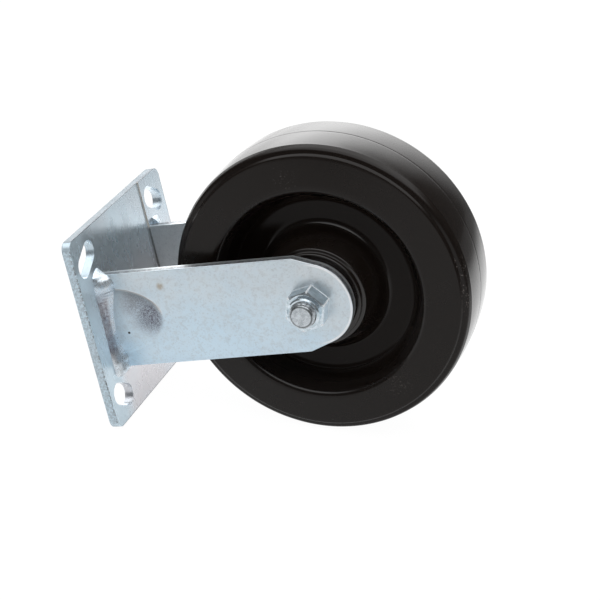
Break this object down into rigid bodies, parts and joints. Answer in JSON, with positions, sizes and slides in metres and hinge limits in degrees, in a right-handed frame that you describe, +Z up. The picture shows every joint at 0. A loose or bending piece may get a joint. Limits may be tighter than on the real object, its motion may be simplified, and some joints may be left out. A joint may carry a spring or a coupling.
{
  "type": "fixed castor",
  "caption": "Fixed castor: slotted top plate, parallel legs welded under it, and a crowned wheel turning on a caged roller bearing.",
  "frame": {"origin": "centre of the top plate's mounting face, which is the face that bolts under a load", "axes": "+Z up out of the mounting face, +X the way the castor rolls, +Y along the axle toward the bolt's head; the nut is on -Y"},
  "size_m": [0.1524, 0.1142, 0.1889],
  "materials": {
    "plate_zinc": "bright zinc plated hot-rolled steel, slightly mottled",
    "leg_zinc": "bright zinc plated pressed steel",
    "weld_zinc": "rippled weld bead under bright zinc plating",
    "wheel_black": "moulded black polyolefin, satin, lightly scuffed",
    "bearing_steel": "ground bearing steel",
    "cage_nylon": "moulded nylon",
    "sleeve_steel": "ground steel tube",
    "washer_zinc": "zinc plated steel washer",
    "bolt_zinc": "bright zinc plated steel with rolled thread",
    "nut_zinc": "bright zinc plated steel",
    "insert_nylon": "nylon locking ring"
  },
  "bodies": {
    "frame": {"top_plate": "plate_zinc", "near_leg": "leg_zinc", "far_leg": "leg_zinc", "near_weld": "weld_zinc", "far_weld": "weld_zinc", "spanner_sleeve": "sleeve_steel", "near_thrust_washer": "washer_zinc", "far_thrust_washer": "washer_zinc", "axle_bolt": "bolt_zinc", "lock_nut": "nut_zinc", "nut_insert": "insert_nylon"},
    "wheel": {"wheel": "wheel_black", "bearing_shell": "bearing_steel"},
    "cage": {"bearing_cage": "cage_nylon"},
    "roller_1_body": {"roller_1": "bearing_steel"},
    "roller_2_body": {"roller_2": "bearing_steel"},
    "roller_3_body": {"roller_3": "bearing_steel"},
    "roller_4_body": {"roller_4": "bearing_steel"},
    "roller_5_body": {"roller_5": "bearing_steel"},
    "roller_6_body": {"roller_6": "bearing_steel"},
    "roller_7_body": {"roller_7": "bearing_steel"},
    "roller_8_body": {"roller_8": "bearing_steel"}
  },
  "joints": [
    {"name": "wheel_spin", "type": "hinge", "parent": "frame", "child": "wheel", "pos_m": [0, 0, -0.1127], "axis": [0, 1, 0], "continuous": true},
    {"name": "cage_roll", "type": "hinge", "parent": "frame", "child": "cage", "pos_m": [0, 0, -0.1127], "axis": [0, 1, 0], "continuous": true},
    {"name": "roller_1_roll", "type": "hinge", "parent": "cage", "child": "roller_1_body", "pos_m": [0.0123, 0, -0.1127], "axis": [0, 1, 0], "continuous": true},
    {"name": "roller_2_roll", "type": "hinge", "parent": "cage", "child": "roller_2_body", "pos_m": [0.0087, 0, -0.104], "axis": [0, 1, 0], "continuous": true},
    {"name": "roller_3_roll", "type": "hinge", "parent": "cage", "child": "roller_3_body", "pos_m": [0, 0, -0.1004], "axis": [0, 1, 0], "continuous": true},
    {"name": "roller_4_roll", "type": "hinge", "parent": "cage", "child": "roller_4_body", "pos_m": [-0.0087, 0, -0.104], "axis": [0, 1, 0], "continuous": true},
    {"name": "roller_5_roll", "type": "hinge", "parent": "cage", "child": "roller_5_body", "pos_m": [-0.0123, 0, -0.1127], "axis": [0, 1, 0], "continuous": true},
    {"name": "roller_6_roll", "type": "hinge", "parent": "cage", "child": "roller_6_body", "pos_m": [-0.0087, 0, -0.1214], "axis": [0, 1, 0], "continuous": true},
    {"name": "roller_7_roll", "type": "hinge", "parent": "cage", "child": "roller_7_body", "pos_m": [0, 0, -0.125], "axis": [0, 1, 0], "continuous": true},
    {"name": "roller_8_roll", "type": "hinge", "parent": "cage", "child": "roller_8_body", "pos_m": [0.0087, 0, -0.1214], "axis": [0, 1, 0], "continuous": true}
  ],
  "couplings": [
    {"joint": "cage_roll", "follows": "wheel_spin", "ratio": 0.61288},
    {"joint": "roller_1_roll", "follows": "wheel_spin", "ratio": 2.1018},
    {"joint": "roller_2_roll", "follows": "wheel_spin", "ratio": 2.1018},
    {"joint": "roller_3_roll", "follows": "wheel_spin", "ratio": 2.1018},
    {"joint": "roller_4_roll", "follows": "wheel_spin", "ratio": 2.1018},
    {"joint": "roller_5_roll", "follows": "wheel_spin", "ratio": 2.1018},
    {"joint": "roller_6_roll", "follows": "wheel_spin", "ratio": 2.1018},
    {"joint": "roller_7_roll", "follows": "wheel_spin", "ratio": 2.1018},
    {"joint": "roller_8_roll", "follows": "wheel_spin", "ratio": 2.1018}
  ]
}
